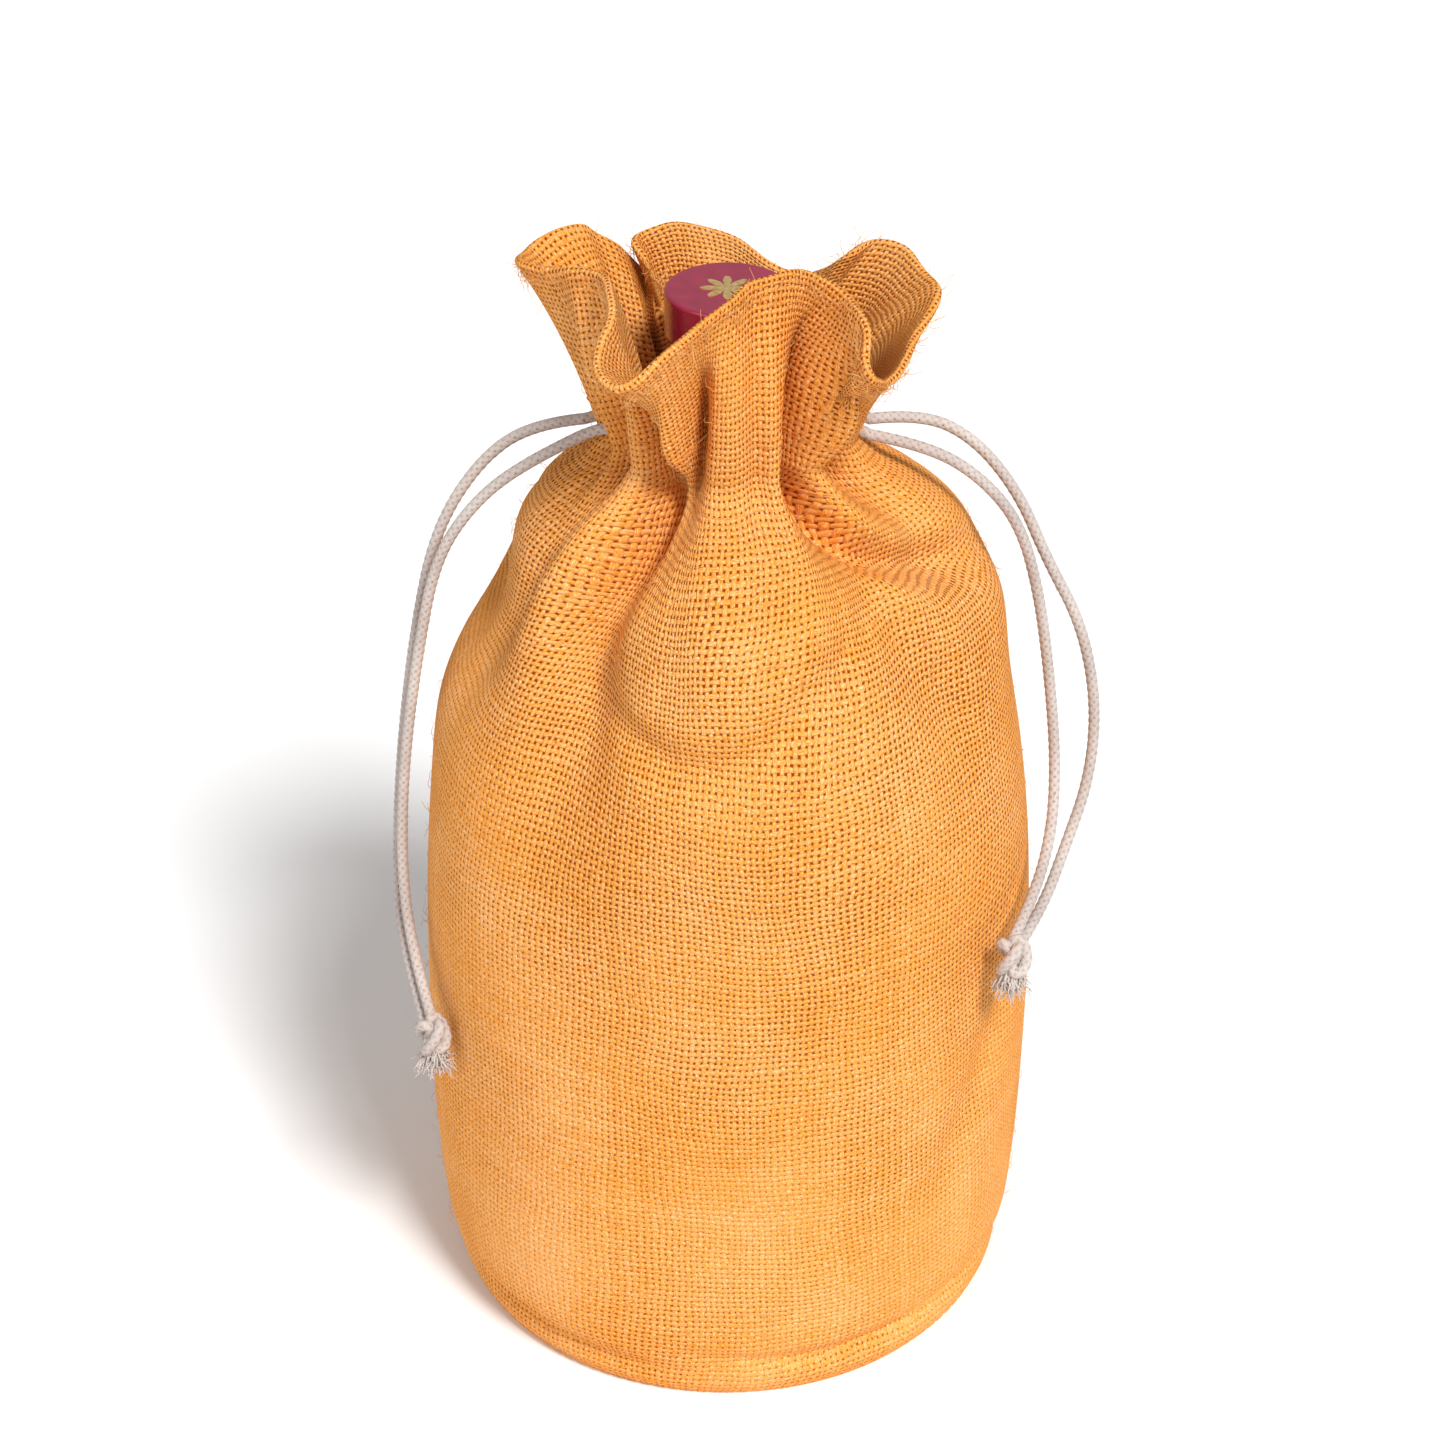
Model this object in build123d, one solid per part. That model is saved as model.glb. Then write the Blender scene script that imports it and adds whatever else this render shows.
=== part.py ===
from build123d import *
import math
import os

# Round drawstring gift bag of coarse jute cloth, closed around the neck of a wine bottle.
# Frame in millimetres: origin at the centre of the flat base, +Z up, the front faces -Y, +X is right.

# ---------------------------------------------------------------- driving dimensions
CLOTH = 1.6                 # one layer of jute cloth
CORD = 3.0                  # braided cotton drawstring
GAP = 0.3                   # clearance between pieces that move past each other

NECK_Z = 262.0              # middle of the drawstring casing
NECK_RADIUS = 34.2          # outside of the gathered neck
RIM_Z = 308.0               # top of the open header
BELLY_RADIUS = 83.7         # widest part of the filled bag
BASE_RADIUS = 75.0          # where the side turns under onto the base

# Outside of the bag as radius, height and thickness of the outer layer there.
# The layer is thicker at the neck, where it is gathered into pleats.
OUTLINE = [
    (BASE_RADIUS, 0, CLOTH), (78.9, 7.0, CLOTH), (81.4, 20.0, CLOTH), (83.2, 45.0, CLOTH),
    (BELLY_RADIUS, 75.0, CLOTH), (83.3, 110.0, CLOTH), (81.5, 148.0, CLOTH), (77.6, 180.0, CLOTH),
    (71.8, 205.0, CLOTH), (64.6, 225.0, CLOTH), (56.6, 239.5, CLOTH), (46.5, 250.0, 1.8),
    (38.2, 256.0, 2.8), (NECK_RADIUS, NECK_Z, 3.8), (35.2, 268.5, 3.0), (39.2, 278.0, 2.0),
    (44.6, 288.5, CLOTH), (48.8, 298.5, CLOTH), (51.0, RIM_Z, CLOTH),
]

# Inner face of the hem that is turned in to make the casing: depth from the outside at
# each point of the outline from HEM_START to the rim.
HEM_START = 11
HEM_DEPTHS = [4.4, 9.2, 12.7, 9.6, 5.2, 3.6, 3.2, 3.2]
HEM_FOOT_Z = 251.0          # lower edge of the hem
HEM_TOP_Z = RIM_Z - 0.6     # its fold stands just below the rim

CASING_RADIUS = 28.4        # ring on which the drawstrings run inside the casing
CASING_HALF_HEIGHT = 3.7
LOOP_OFFSET = 1.7           # one drawstring runs above the other in the casing
LOOP_TURN = 340.0           # how far round each one goes
EXIT_X = 36.8               # where the tails leave the neck, and the axis they swing about
SLOT_HALF_WIDTH = 8.0       # gap left in each side seam for the tails
LOWER_STITCH_Z = NECK_Z - 7.0
UPPER_STITCH_Z = NECK_Z + 8.0

SEAM_WIDTH = 9.0            # seam allowance turned to the inside
SEAM_TOP_Z = 236.0
THREAD = 0.5

BOTTLE_Z = CLOTH + GAP      # underside of the bottle
BOTTLE_RADIUS = 37.5
BOTTLE_NECK = 14.3
BOTTLE_LIP = 15.2
BOTTLE_TOP = 300.0
GLASS = 3.0
PUNT = 14.0                 # hollow in the foot of the bottle
BORE = 9.4
FILL_Z = 243.0
CORK_LENGTH = 45.0
CAPSULE_FOOT_Z = 241.0
CAPSULE_SKIRT = 14.9
CAPSULE_RADIUS = 15.9
CAPSULE_TOP = 301.2
CAPSULE_EDGE = 0.9
LABEL = 0.2
LABEL_Z = (52.0, 142.0)

KNOT_RADIUS = 4.8
KNOT_HEIGHT = 8.4           # flattened a little where the strands enter and leave
FRAY_LENGTH = 12.0

BIG = 200.0                 # half size of the blocks that split the bag

# Routes of the four tails, from the neck over the shoulder to their knot.
ROUTES = {
    "left_front_strand": [
        (-EXIT_X, -4, NECK_Z), (-51, -5, 255), (-65, -4, 243), (-76, -2, 225), (-81.5, -3, 199),
        (-87, -4, 165), (-89, -9, 134), (-86, -24, 116), (-80, -38.5, 102.5),
    ],
    "left_back_strand": [
        (-EXIT_X, 5, NECK_Z), (-50, 10, 258), (-64, 10, 248), (-76.5, 6, 229), (-83, 3, 200),
        (-88, 1, 165), (-90.5, -4, 132), (-88.5, -21, 113), (-81.5, -37.5, 98.5),
    ],
    "right_front_strand": [
        (EXIT_X, -4, NECK_Z), (51, -6, 260), (65, -6, 251), (76, -4, 236), (82, -3, 214),
        (86, -3, 188), (88.5, -6, 162), (87.5, -15, 143), (82, -32, 132),
        (77, -44, 127.5),
    ],
    "right_back_strand": [
        (EXIT_X, 5, NECK_Z), (50, 10, 261), (64, 10, 254), (76, 6, 240), (84, 2, 222),
        (94, 1, 203), (99, -1, 180), (98, -6, 156), (91, -17, 139),
        (84, -33, 127.5), (78, -44, 123.5),
    ],
}
KNOTS = {"left": (-78.8, -41.0, 99.0), "right": (76.2, -46.2, 124.0)}


# ---------------------------------------------------------------- helpers
def inward(index, depth):
    """Point at a depth inside the outline, square to it."""
    before = OUTLINE[max(index - 1, 0)]
    after = OUTLINE[min(index + 1, len(OUTLINE) - 1)]
    run_r = after[0] - before[0]
    run_z = after[1] - before[1]
    length = math.hypot(run_r, run_z)
    radius, height, _ = OUTLINE[index]
    return radius - depth * run_z / length, height + depth * run_r / length


def turned(curve, bottom, top):
    """Solid of revolution that fills the space inside a curve, from a bottom to a top plane."""
    closing = [curve[-1], (curve[-1][0], top), (0, top), (0, bottom), (curve[0][0], bottom), curve[0]]
    closing = [a for a, b in zip(closing, closing[1:]) if a != b] + [closing[-1]]
    with BuildPart() as body:
        with BuildSketch(Plane.XZ):
            with BuildLine():
                Spline(*curve)
                Polyline(*closing)
            make_face()
        revolve(axis=Axis.Z)
    return body.part


def lathe(points):
    """Solid of revolution of a closed outline of straight lines."""
    return revolve(Plane.XZ * make_face(Polyline(*points, close=True)), axis=Axis.Z)


def ring(inner, outer, bottom, top):
    """Square-edged ring about the Z axis."""
    return lathe([(inner, bottom), (outer, bottom), (outer, top), (inner, top)])


def slab(bottom, top):
    """Block that keeps what lies between two heights."""
    return Pos(0, 0, (bottom + top) / 2) * Box(2 * BIG, 2 * BIG, top - bottom)


def half(shape, side):
    """Front (-1) or back (+1) half of a shape, cut along the side seams."""
    return shape & (Pos(0, side * BIG, 0) * Box(4 * BIG, 2 * BIG, 4 * BIG))


def tube(points, name):
    """Limp cord: straight runs joined by arcs as large as the runs allow."""
    radii = []
    for before, corner, after in zip(points, points[1:], points[2:]):
        arriving = Vector(*corner) - Vector(*before)
        leaving = Vector(*after) - Vector(*corner)
        turn = math.radians(arriving.get_angle(leaving))
        radii.append(0.45 * min(arriving.length, leaving.length) / math.tan(turn / 2))
    path = FilletPolyline(*points, radius=radii)
    section = Plane(origin=path @ 0, z_dir=path % 0) * Circle(CORD / 2)
    cord = sweep(section, path=path)
    share = cord.volume / (math.pi * CORD ** 2 / 4 * path.length)
    print(f"{name}: {path.length:.1f} long, radii {[round(r, 1) for r in radii]}, volume share {share:.4f}")
    return cord


def save(shape, name):
    solids = shape.solids()
    if len(solids) != 1:
        print(f"{name} has {len(solids)} solids")
    export_step(solids[0] if len(solids) == 1 else shape, f"parts/{name}.step")


# ---------------------------------------------------------------- bag
def make_bag():
    outside = [(radius, height) for radius, height, _ in OUTLINE]
    inside = [inward(i, wall) for i, (_, _, wall) in enumerate(OUTLINE)]
    inside[0] = (BASE_RADIUS - CLOTH, 0)
    hem_inside = [inward(HEM_START + i, depth) for i, depth in enumerate(HEM_DEPTHS)]

    filled = turned(outside, 0, RIM_Z)
    cavity = turned(inside, 0, RIM_Z + 10) & slab(-1, RIM_Z + 10)
    slots = Box(4 * EXIT_X, 2 * SLOT_HALF_WIDTH, 2 * CASING_HALF_HEIGHT)
    slots = Pos(0, 0, NECK_Z) * (slots - Box(2 * CASING_RADIUS, 2 * BIG, BIG))
    layer = filled - cavity - slots
    save(half(layer, -1), "front_panel")
    save(half(layer, 1), "back_panel")

    hem_space = turned(hem_inside, hem_inside[0][1] - 8, RIM_Z + 10)
    casing_floor = NECK_Z - CASING_HALF_HEIGHT
    casing_roof = NECK_Z + CASING_HALF_HEIGHT
    casing = ring(CASING_RADIUS - CORD / 2 - 0.2, NECK_RADIUS, casing_floor, casing_roof)
    hem = (cavity & slab(HEM_FOOT_Z, HEM_TOP_Z)) - hem_space - casing
    save(half(hem, -1), "front_hem_facing")
    save(half(hem, 1), "back_hem_facing")

    for side, exit_angle, level in (("left", 180, NECK_Z + LOOP_OFFSET), ("right", 0, NECK_Z - LOOP_OFFSET)):
        section = Plane.XZ * Pos(CASING_RADIUS, level) * Circle(CORD / 2)
        loop = revolve(section, axis=Axis.Z, revolution_arc=LOOP_TURN)
        start = exit_angle + (360 - LOOP_TURN) / 2
        save(Rot(0, 0, start) * loop, f"{side}_cord_loop")

    make_base(cavity)
    make_side_seams(cavity)
    make_casing_threads(filled)


def make_base(cavity):
    save(cavity & slab(0, CLOTH), "base_disc")
    fold_top = 3 * CLOTH
    space = cavity & slab(CLOTH, fold_top)
    save(space - Cylinder(BASE_RADIUS - CLOTH - SEAM_WIDTH, 4 * fold_top), "base_seam_allowance")
    stitch_radius = BASE_RADIUS - CLOTH - SEAM_WIDTH / 2
    save(ring(stitch_radius, stitch_radius + THREAD, fold_top, fold_top + THREAD), "base_seam_thread")


def make_side_seams(cavity):
    body_points = [i for i, (_, height, _) in enumerate(OUTLINE) if height < SEAM_TOP_Z + 20]
    foot_z = 3 * CLOTH + 2 * THREAD
    above_base = slab(foot_z, SEAM_TOP_Z)

    def inner_space(depth):
        curve = [inward(i, depth) for i in body_points]
        return turned(curve, curve[0][1] - 1, curve[-1][1] + 1)

    allowance = (cavity & above_base) - inner_space(CLOTH + SEAM_WIDTH)
    thread = (inner_space(CLOTH + SEAM_WIDTH / 2) & above_base) - inner_space(CLOTH + SEAM_WIDTH / 2 + THREAD)
    for side, sign in (("left", -1), ("right", 1)):
        strip = Pos(sign * BIG / 2, 0, BIG / 2) * Box(BIG, 2 * CLOTH, 2 * BIG)
        save(allowance & strip, f"{side}_seam_allowance")
        line = Pos(sign * BIG / 2, -CLOTH - THREAD / 2, BIG / 2) * Box(BIG, THREAD, 2 * BIG)
        save(thread & line, f"{side}_seam_thread")


def make_casing_threads(filled):
    grown = turned([(radius + THREAD, height) for radius, height, _ in OUTLINE], 0, RIM_Z)
    for name, level in (("lower_casing_thread", LOWER_STITCH_Z), ("upper_casing_thread", UPPER_STITCH_Z)):
        band = slab(level - THREAD / 2, level + THREAD / 2)
        save((grown & band) - filled, name)


# ---------------------------------------------------------------- bottle
def bottle_form(foot, shoulder, neck):
    """Solid of revolution: straight foot and neck with a curved shoulder between."""
    with BuildPart() as body:
        with BuildSketch(Plane.XZ):
            with BuildLine():
                Polyline(*foot, shoulder[0])
                Spline(*shoulder)
                Polyline(shoulder[-1], *neck, foot[0])
            make_face()
        revolve(axis=Axis.Z)
    return body.part


def make_bottle():
    lip_z = BOTTLE_TOP - 11
    shoulder = [(BOTTLE_RADIUS, 188), (35.3, 199), (28.5, 210), (20, 219.5), (BOTTLE_NECK + 0.6, 231)]
    foot = [
        (0, BOTTLE_Z + PUNT), (26, BOTTLE_Z + 1), (30, BOTTLE_Z), (35, BOTTLE_Z), (BOTTLE_RADIUS, BOTTLE_Z + 3),
    ]
    neck = [
        (BOTTLE_NECK, CAPSULE_FOOT_Z), (BOTTLE_NECK, lip_z), (BOTTLE_LIP, lip_z + 1.5),
        (BOTTLE_LIP, BOTTLE_TOP - 1), (BOTTLE_LIP - 1, BOTTLE_TOP), (0, BOTTLE_TOP),
    ]
    outer = bottle_form(foot, shoulder, neck)

    inner_shoulder = [(radius - GLASS, height - 1) for radius, height in shoulder[:-1]] + [(BORE, 232)]
    inner_foot = [(0, BOTTLE_Z + PUNT + GLASS), (26, BOTTLE_Z + 5), (BOTTLE_RADIUS - GLASS, BOTTLE_Z + 7)]
    hollow = bottle_form(inner_foot, inner_shoulder, [(BORE, BOTTLE_TOP), (0, BOTTLE_TOP)])

    save(outer - hollow, "bottle_glass")
    save(hollow & slab(0, FILL_Z), "wine")
    save(hollow & slab(BOTTLE_TOP - CORK_LENGTH, BOTTLE_TOP), "cork")

    cap = lathe([
        (0, CAPSULE_FOOT_Z), (CAPSULE_SKIRT, CAPSULE_FOOT_Z), (CAPSULE_SKIRT, lip_z - 1),
        (CAPSULE_RADIUS, lip_z + 1), (CAPSULE_RADIUS, CAPSULE_TOP), (0, CAPSULE_TOP),
    ])
    top_edge = cap.edges().group_by(Axis.Z)[-1]
    save(fillet(top_edge, CAPSULE_EDGE) - outer, "capsule")

    petal = Ellipse(2.6, 1.1)
    rosette = Circle(2.2)
    for turn in range(0, 360, 45):
        rosette += Rot(0, 0, turn) * Pos(4.2, 0) * petal
    ornament = extrude(Pos(0, 0, CAPSULE_TOP) * rosette, LABEL)
    save(ornament, "capsule_ornament")

    wrap = ring(BOTTLE_RADIUS, BOTTLE_RADIUS + LABEL, *LABEL_Z)
    save(wrap & (Pos(0, -BIG, 0) * Box(4 * BIG, 2 * BIG, 4 * BIG)), "bottle_label")


# ---------------------------------------------------------------- drawstring tails
def make_tails():
    strands = {name: tube(points, name) for name, points in ROUTES.items()}
    for side, centre in KNOTS.items():
        ball = Sphere(KNOT_RADIUS) & Box(3 * KNOT_RADIUS, 3 * KNOT_RADIUS, KNOT_HEIGHT)
        knot = Pos(*centre) * ball
        foot_z = centre[2] - KNOT_HEIGHT / 2
        tip_z = foot_z - FRAY_LENGTH
        fray = lathe([(0, tip_z), (4.6, tip_z), (3.4, foot_z - 4), (2.3, foot_z), (0, foot_z)])
        for place in ("front", "back"):
            name = f"{side}_{place}_strand"
            knot = knot - strands[name]
            save(strands[name], name)
        save(knot, f"{side}_knot")
        save(Pos(centre[0], centre[1], 0) * fray, f"{side}_frayed_ends")


os.makedirs("parts", exist_ok=True)
make_bag()
make_bottle()
make_tails()
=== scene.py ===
import math

import bpy
import numpy as np
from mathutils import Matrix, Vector


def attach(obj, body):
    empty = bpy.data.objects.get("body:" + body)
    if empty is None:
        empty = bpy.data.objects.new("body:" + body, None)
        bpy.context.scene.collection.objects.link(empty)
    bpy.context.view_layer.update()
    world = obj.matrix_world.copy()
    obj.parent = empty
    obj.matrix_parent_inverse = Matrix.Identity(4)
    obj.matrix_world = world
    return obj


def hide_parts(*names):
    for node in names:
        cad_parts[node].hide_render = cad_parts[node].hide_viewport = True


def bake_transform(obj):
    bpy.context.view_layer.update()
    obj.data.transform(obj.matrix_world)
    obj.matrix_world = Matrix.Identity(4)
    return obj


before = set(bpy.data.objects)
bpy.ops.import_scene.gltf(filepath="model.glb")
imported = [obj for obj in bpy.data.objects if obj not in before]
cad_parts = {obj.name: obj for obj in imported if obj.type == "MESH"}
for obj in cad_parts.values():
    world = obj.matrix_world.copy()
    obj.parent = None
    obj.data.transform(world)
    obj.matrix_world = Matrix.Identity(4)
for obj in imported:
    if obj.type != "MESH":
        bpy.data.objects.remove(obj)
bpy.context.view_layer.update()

# Drawstring gift bag of orange jute around a wine bottle. Metres; +Z up, the front faces -Y.
RNG = np.random.default_rng(7)

CORD = 0.003                # diameter of the drawstring
EXIT_X = 0.0368             # where the tails leave the neck
NECK_Z = 0.262              # middle of the drawstring casing
NECK_RADIUS = 0.0342        # outside of the gathered neck
PITCH = 0.0018              # from one yarn of the jute to the next


# ---------------------------------------------------------------- camera
def add_camera():
    """Camera at the photograph's viewing angle."""
    data = bpy.data.cameras.new("photo_camera")
    data.lens = 87.6
    data.sensor_width = 36.0
    data.clip_start = 0.05
    camera = bpy.data.objects.new("photo_camera", data)
    bpy.context.scene.collection.objects.link(camera)
    camera.location = (-0.0012, -0.800, 0.680)
    aim = Vector((-0.0012, 0.0, 0.1727)) - camera.location
    camera.rotation_euler = aim.to_track_quat("-Z", "Y").to_euler()
    bpy.context.scene.camera = camera


add_camera()

# ---------------------------------------------------------------- cord routes
# Out of the neck, over the shoulder, down to the knot. These are the points of the cord solids, apart
# from the last few on the right, where the knot hangs 8 mm nearer to its place in the photo.
ROUTES = {
    "left_front_strand": [
        (-EXIT_X, -0.004, NECK_Z), (-0.051, -0.005, 0.255), (-0.065, -0.004, 0.243), (-0.076, -0.002, 0.225),
        (-0.0815, -0.003, 0.199), (-0.087, -0.004, 0.165), (-0.089, -0.009, 0.134), (-0.086, -0.024, 0.116),
        (-0.080, -0.0385, 0.1025),
    ],
    "left_back_strand": [
        (-EXIT_X, 0.005, NECK_Z), (-0.050, 0.010, 0.258), (-0.064, 0.010, 0.248), (-0.0765, 0.006, 0.229),
        (-0.083, 0.003, 0.200), (-0.088, 0.001, 0.165), (-0.0905, -0.004, 0.132), (-0.0885, -0.021, 0.113),
        (-0.0815, -0.0375, 0.0985),
    ],
    "right_front_strand": [
        (EXIT_X, -0.004, NECK_Z), (0.051, -0.006, 0.260), (0.065, -0.006, 0.251), (0.076, -0.004, 0.236),
        (0.082, -0.003, 0.214), (0.086, -0.003, 0.188), (0.0885, -0.006, 0.164), (0.0875, -0.016, 0.148),
        (0.082, -0.033, 0.139), (0.0755, -0.0465, 0.1345),
    ],
    "right_back_strand": [
        (EXIT_X, 0.005, NECK_Z), (0.050, 0.010, 0.261), (0.064, 0.010, 0.254), (0.076, 0.006, 0.240),
        (0.084, 0.002, 0.222), (0.094, 0.001, 0.203), (0.099, -0.001, 0.180), (0.098, -0.006, 0.159),
        (0.091, -0.018, 0.144), (0.084, -0.034, 0.1350), (0.0765, -0.0465, 0.1310),
    ],
}


def route_curve(name, points):
    """Smooth NURBS line through the air with the route's points as its control points."""
    data = bpy.data.curves.new(name + "_route", "CURVE")
    data.dimensions = "3D"
    data.resolution_u = 24
    spline = data.splines.new("NURBS")
    spline.points.add(len(points) - 1)
    for point, place in zip(spline.points, points):
        point.co = (*place, 1.0)
    spline.order_u = 3
    spline.use_endpoint_u = True
    return bpy.data.objects.new(name + "_route", data)


def route_line(name, points):
    """Points along the route's NURBS line, as an array."""
    curve = route_curve(name, points)
    bpy.context.scene.collection.objects.link(curve)
    mesh = bpy.data.meshes.new_from_object(curve)
    line = np.array([v.co[:] for v in mesh.vertices])
    bpy.data.meshes.remove(mesh)
    bpy.data.objects.remove(curve)
    return line


def distance_along(line):
    """How far along the line each of its points is."""
    return np.concatenate([[0.0], np.cumsum(np.linalg.norm(np.diff(line, axis=0), axis=1))])


def even(line, step):
    """The same line with evenly spaced points, and how far along it each one is."""
    along = distance_along(line)
    count = max(int(round(along[-1] / step)), 2)
    places = np.linspace(0.0, along[-1], count + 1)
    return np.stack([np.interp(places, along, line[:, axis]) for axis in range(3)], axis=1), places


def frames_along(line):
    """Two directions square to the line at each point, turning as little as they can."""
    tangents = np.gradient(line, axis=0)
    tangents /= np.linalg.norm(tangents, axis=1, keepdims=True)
    side = np.cross(tangents[0], (0.0, 0.0, 1.0))
    if np.linalg.norm(side) < 0.1:
        side = np.cross(tangents[0], (0.0, 1.0, 0.0))
    sides = []
    for tangent in tangents:
        side = side - tangent * np.dot(side, tangent)
        side = side / np.linalg.norm(side)
        sides.append(side)
    sides = np.array(sides)
    return sides, np.cross(tangents, sides)


# ---------------------------------------------------------------- materials
class Finish:
    """One procedural material: adds nodes and joins them."""

    def __init__(self, name):
        self.material = bpy.data.materials.new(name)
        self.material.use_nodes = True
        self.tree = self.material.node_tree
        self.shader = self.tree.nodes["Principled BSDF"]

    def add(self, kind, inputs=(), **settings):
        node = self.tree.nodes.new(kind)
        for key, value in settings.items():
            setattr(node, key, value)
        for key, value in dict(inputs).items():
            self.put(node.inputs[key], value)
        return node

    def put(self, socket, value):
        if isinstance(value, bpy.types.NodeSocket):
            self.tree.links.new(value, socket)
        else:
            socket.default_value = value

    def math(self, operation, first, second=0.0, third=0.0):
        return self.add("ShaderNodeMath", {0: first, 1: second, 2: third}, operation=operation).outputs[0]

    def mix(self, share, first, second):
        return self.add("ShaderNodeMix", {0: share, 6: first, 7: second}, data_type="RGBA").outputs[2]

    def noise(self, place, scale, detail=2.0, roughness=0.5):
        inputs = {"Vector": place, "Scale": scale, "Detail": detail, "Roughness": roughness}
        return self.add("ShaderNodeTexNoise", inputs).outputs["Fac"]

    def random(self, first, second=0.0):
        place = self.add("ShaderNodeCombineXYZ", {0: first, 1: second}).outputs[0]
        return self.add("ShaderNodeTexWhiteNoise", {"Vector": place}, noise_dimensions="2D").outputs["Value"]

    def combine(self, x, y, z=0.0):
        return self.add("ShaderNodeCombineXYZ", {0: x, 1: y, 2: z}).outputs[0]

    def ramp(self, value, stops):
        node = self.add("ShaderNodeValToRGB", {"Fac": value})
        elements = node.color_ramp.elements
        while len(elements) < len(stops):
            elements.new(0.5)
        for element, (position, colour) in zip(elements, stops):
            element.position = position
            element.color = (*colour, 1.0)
        return node.outputs["Color"]

    def span(self, value, low, high, new_low=0.0, new_high=1.0):
        inputs = {"Value": value, "From Min": low, "From Max": high, "To Min": new_low, "To Max": new_high}
        return self.add("ShaderNodeMapRange", inputs, clamp=True).outputs[0]

    def bump(self, height, distance, strength=1.0):
        inputs = {"Height": height, "Distance": distance, "Strength": strength}
        self.put(self.shader.inputs["Normal"], self.add("ShaderNodeBump", inputs).outputs[0])

    def set(self, **inputs):
        for key, value in inputs.items():
            self.put(self.shader.inputs[key.replace("_", " ")], value)
        return self.material


def jute():
    """Open plain weave of uneven orange yarns; the gaps between them and the low parts of the yarns are
    painted dark as shade.
    """
    f = Finish("jute")
    uv = f.add("ShaderNodeUVMap", uv_map="cloth_metres").outputs[0]
    body = f.add("ShaderNodeTexCoord").outputs["Object"]
    parts = f.add("ShaderNodeSeparateXYZ", {0: uv}).outputs
    bend_u = f.math("SUBTRACT", f.noise(uv, 34.0, 1.0), 0.5)
    bend_v = f.math("SUBTRACT", f.noise(f.combine(parts[1], parts[0], 3.0), 34.0, 1.0), 0.5)
    jog_u = f.math("SUBTRACT", f.noise(f.combine(parts[0], parts[1], 7.0), 260.0, 2.0), 0.5)
    jog_v = f.math("SUBTRACT", f.noise(f.combine(parts[1], parts[0], 9.0), 260.0, 2.0), 0.5)
    sway = f.math("MULTIPLY", f.math("SUBTRACT", f.noise(uv, 8.0, 1.0), 0.5), 13.0)
    drift_u = f.math("MULTIPLY_ADD", bend_u, 2.1, f.math("MULTIPLY_ADD", jog_u, 0.6, sway))
    drift_v = f.math("MULTIPLY_ADD", bend_v, 2.1, f.math("MULTIPLY_ADD", jog_v, 0.6, sway))
    u = f.math("MULTIPLY_ADD", parts[0], 1 / PITCH, drift_u)
    v = f.math("MULTIPLY_ADD", parts[1], 1 / PITCH, drift_v)
    yarn_u = f.random(f.math("FLOOR", u), 1.0)
    yarn_v = f.random(f.math("FLOOR", v), 2.0)
    slub_u = f.noise(f.combine(f.math("FLOOR", u), f.math("MULTIPLY", v, 0.3)), 1.0, 2.0)
    slub_v = f.noise(f.combine(f.math("MULTIPLY", u, 0.3), f.math("FLOOR", v)), 1.0, 2.0)
    tall = f.add("ShaderNodeSeparateXYZ", {0: body}).outputs[2]
    filled = f.span(tall, 0.20, 0.09, -0.025, 0.055)
    snug = f.math("ADD", f.span(f.noise(body, 22.0, 2.0), 0.35, 0.65, -0.055, 0.035), filled)
    thread = []
    for here, yarn, slub in ((u, yarn_u, slub_u), (v, yarn_v, slub_v)):
        width = f.math(
            "ADD", f.math("MULTIPLY_ADD", yarn, 0.035, snug), f.math("MULTIPLY_ADD", slub, 0.24, 0.284))
        off = f.math("DIVIDE", f.math("SUBTRACT", f.math("FRACT", here), 0.5), width)
        inside = f.math("SUBTRACT", 1.0, f.math("MULTIPLY", off, off))
        thread.append(f.math("SQRT", f.math("MAXIMUM", inside, 0.0)))
    wave_u = f.math("SINE", f.math("MULTIPLY", u, math.pi))
    wave_v = f.math("SINE", f.math("MULTIPLY", v, math.pi))
    over_u = f.math("MULTIPLY_ADD", f.math("MULTIPLY", wave_v, f.math("SIGN", wave_u)), 0.34, 0.66)
    over_v = f.math("MULTIPLY_ADD", f.math("MULTIPLY", wave_u, f.math("SIGN", wave_v)), -0.34, 0.66)
    warp = f.math("MULTIPLY", thread[0], over_u)
    weft = f.math("MULTIPLY", thread[1], over_v)
    height = f.math("MAXIMUM", warp, weft)
    warp_on_top = f.math("GREATER_THAN", warp, weft)
    weft_on_top = f.math("SUBTRACT", 1.0, warp_on_top)

    fibre_u = f.noise(f.combine(f.math("MULTIPLY", u, 6.0), v), 1.4, 3.0, 0.7)
    fibre_v = f.noise(f.combine(u, f.math("MULTIPLY", v, 6.0)), 1.4, 3.0, 0.7)
    fibre = f.math("ADD", f.math("MULTIPLY", fibre_u, warp_on_top), f.math("MULTIPLY", fibre_v, weft_on_top))
    yarn = f.math("ADD", f.math("MULTIPLY", yarn_u, warp_on_top), f.math("MULTIPLY", yarn_v, weft_on_top))
    dye = f.noise(body, 26.0, 3.0)
    lot = f.math("MULTIPLY_ADD", yarn, 0.05, f.math("MULTIPLY", dye, 0.21))
    tone = f.math("ADD", f.math("MULTIPLY_ADD", fibre, 1.5, -0.535), lot)
    colour = f.ramp(tone, [
        (0.05, (0.66, 0.165, 0.001)), (0.34, (0.93, 0.370, 0.055)), (0.64, (1.00, 0.710, 0.430))])
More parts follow.
